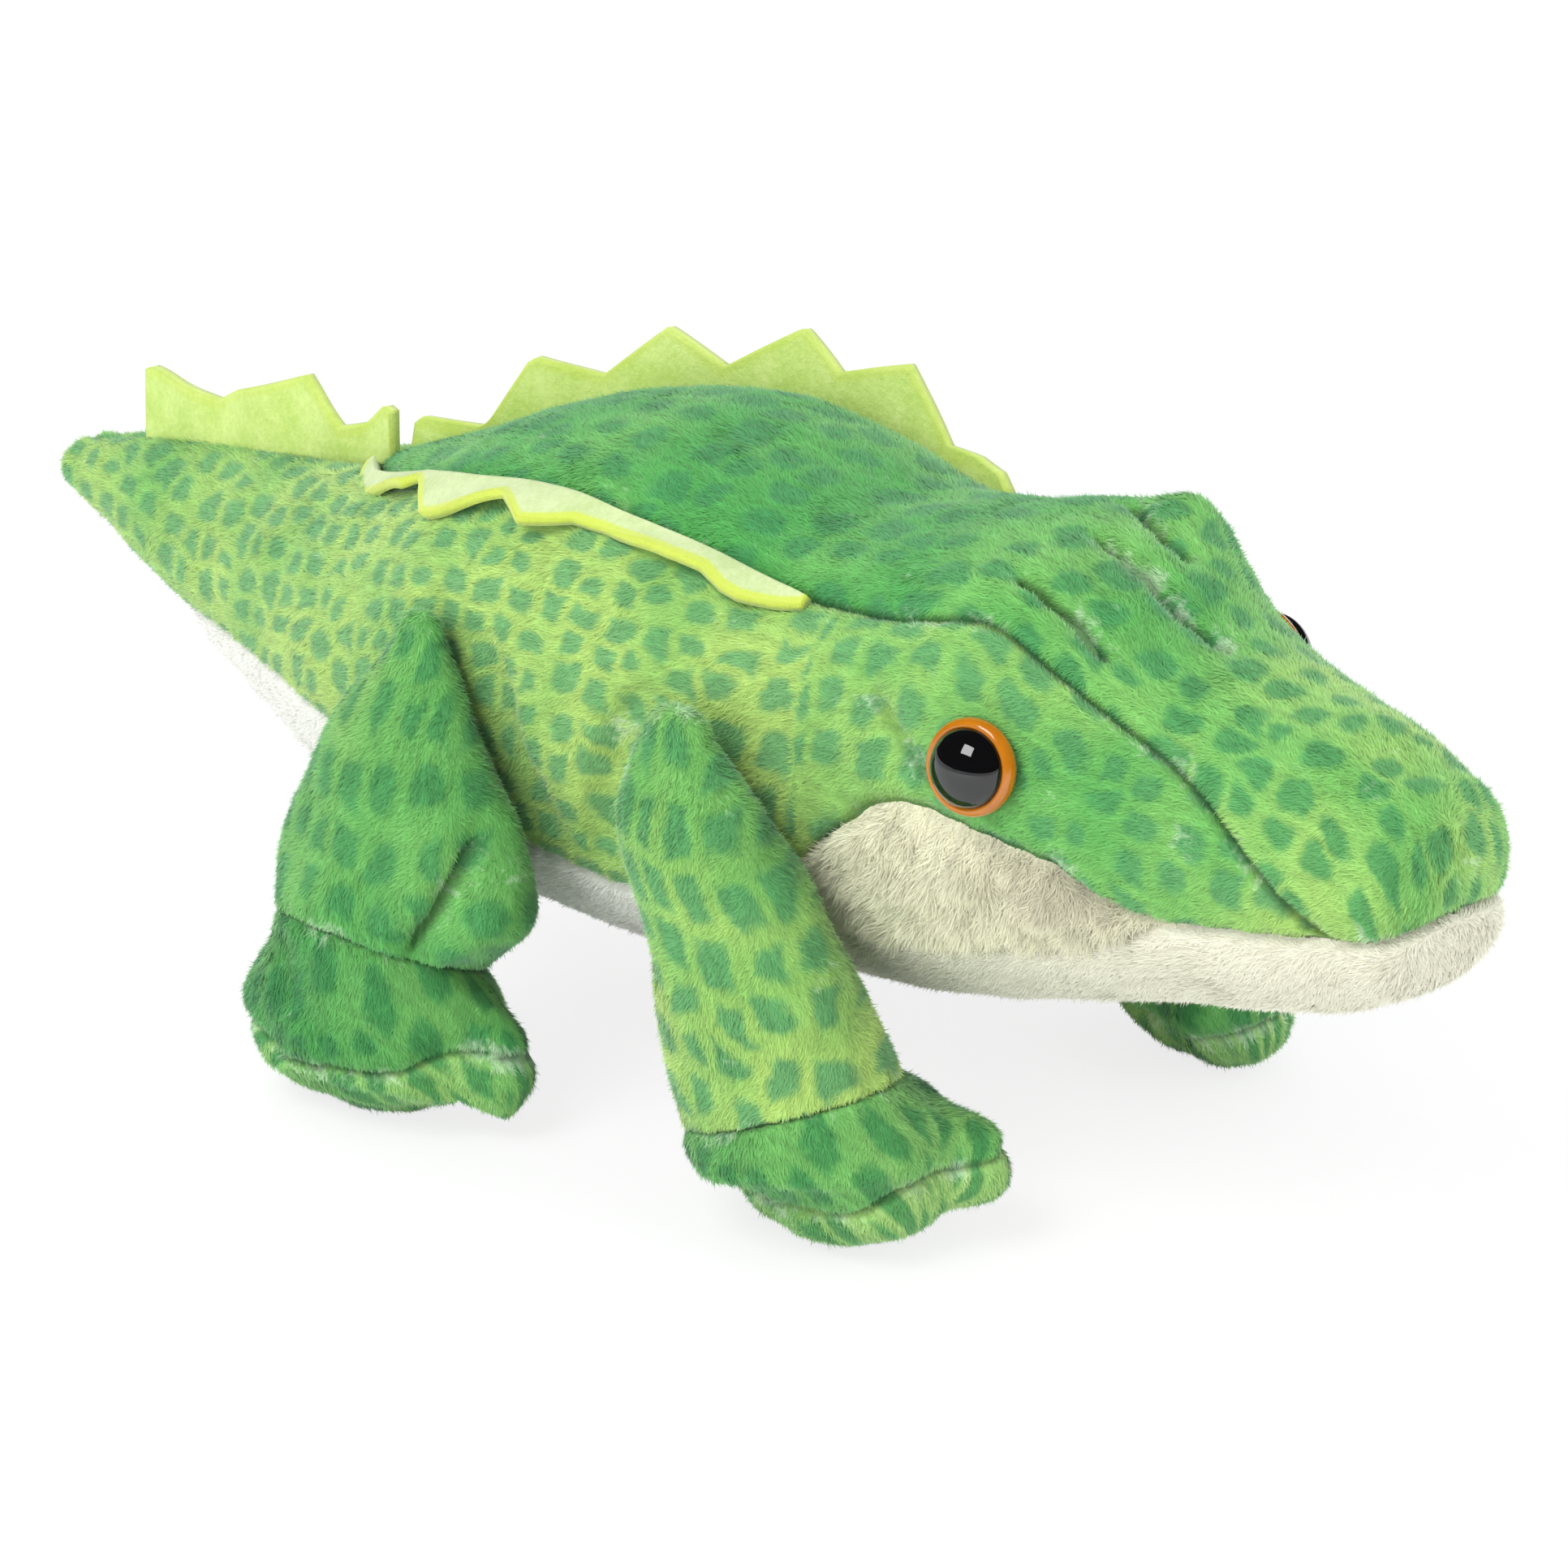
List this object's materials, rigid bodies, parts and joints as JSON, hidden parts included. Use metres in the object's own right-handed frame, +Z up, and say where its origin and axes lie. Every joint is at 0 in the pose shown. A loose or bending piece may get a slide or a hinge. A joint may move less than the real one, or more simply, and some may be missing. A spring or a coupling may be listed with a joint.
{
  "type": "plush crocodile",
  "caption": "Stuffed crocodile with a sewn pile skin, felt back crests, plastic eyes and a tail and four legs that bend at their seams.",
  "frame": {"origin": "on the floor under the middle of the trunk, on the body's middle plane", "axes": "+Z up, -Y towards the snout, +X towards the toy's left side"},
  "size_m": [0.143, 0.2941, 0.103],
  "materials": {
    "printed_pile": "short lime green pile with printed teal spots",
    "back_pile": "short darker green pile with faint spots",
    "leg_pile": "short mid green pile with printed spots",
    "paw_pile": "short dark green pile",
    "cream_pile": "cream pile, longer on the cheeks",
    "belly_pile": "short off-white pile",
    "felt": "pressed light green felt",
    "fibre_fill": "loose white polyester fibre",
    "amber_plastic": "polished amber plastic",
    "black_plastic": "polished black plastic",
    "washer_plastic": "plain moulded plastic"
  },
  "bodies": {
    "trunk": {"trunk_stuffing": "fibre_fill", "head_stuffing": "fibre_fill", "back_panel": "back_pile", "belly_panel": "belly_pile", "jaw_panel": "cream_pile", "cheek_patch_right": "cream_pile", "cheek_patch_left": "cream_pile", "side_panel_right": "printed_pile", "side_panel_left": "printed_pile", "crest_left": "felt", "crest_right": "felt", "eye_rim_right": "amber_plastic", "eye_rim_left": "amber_plastic", "eye_dome_right": "black_plastic", "eye_dome_left": "black_plastic", "eye_washer_right": "washer_plastic", "eye_washer_left": "washer_plastic"},
    "tail": {"tail_stuffing": "fibre_fill", "tail_belly_panel": "belly_pile", "tail_side_right": "printed_pile", "tail_side_left": "printed_pile", "crest_tail": "felt"},
    "leg_front_right": {"leg_cloth_front_right": "leg_pile", "paw_top_front_right": "paw_pile", "paw_sole_front_right": "paw_pile", "leg_stuffing_front_right": "fibre_fill", "paw_stuffing_front_right": "fibre_fill"},
    "leg_front_left": {"leg_cloth_front_left": "leg_pile", "paw_top_front_left": "paw_pile", "paw_sole_front_left": "paw_pile", "leg_stuffing_front_left": "fibre_fill", "paw_stuffing_front_left": "fibre_fill"},
    "leg_rear_right": {"leg_cloth_rear_right": "leg_pile", "paw_top_rear_right": "paw_pile", "paw_sole_rear_right": "paw_pile", "leg_stuffing_rear_right": "fibre_fill", "paw_stuffing_rear_right": "fibre_fill"},
    "leg_rear_left": {"leg_cloth_rear_left": "leg_pile", "paw_top_rear_left": "paw_pile", "paw_sole_rear_left": "paw_pile", "leg_stuffing_rear_left": "fibre_fill", "paw_stuffing_rear_left": "fibre_fill"}
  },
  "joints": [
    {"name": "tail_bend", "type": "hinge", "parent": "trunk", "child": "tail", "pos_m": [0, 0.0921, 0.05], "axis": [0, 0, 1], "range_deg": [-25, 25], "stiffness_Nm_per_rad": 0.1},
    {"name": "front_right_leg_swing", "type": "hinge", "parent": "trunk", "child": "leg_front_right", "pos_m": [-0.0425, -0.038, 0.06], "axis": [-1, 0, 0], "range_deg": [-12, 20], "stiffness_Nm_per_rad": 0.4},
    {"name": "front_left_leg_swing", "type": "hinge", "parent": "trunk", "child": "leg_front_left", "pos_m": [0.0425, -0.038, 0.06], "axis": [-1, 0, 0], "range_deg": [-6, 25], "stiffness_Nm_per_rad": 0.4},
    {"name": "rear_right_leg_swing", "type": "hinge", "parent": "trunk", "child": "leg_rear_right", "pos_m": [-0.0425, 0.013, 0.06], "axis": [-1, 0, 0], "range_deg": [-20, 10], "stiffness_Nm_per_rad": 0.4},
    {"name": "rear_left_leg_swing", "type": "hinge", "parent": "trunk", "child": "leg_rear_left", "pos_m": [0.0425, 0.013, 0.06], "axis": [-1, 0, 0], "range_deg": [-20, 6], "stiffness_Nm_per_rad": 0.4}
  ]
}
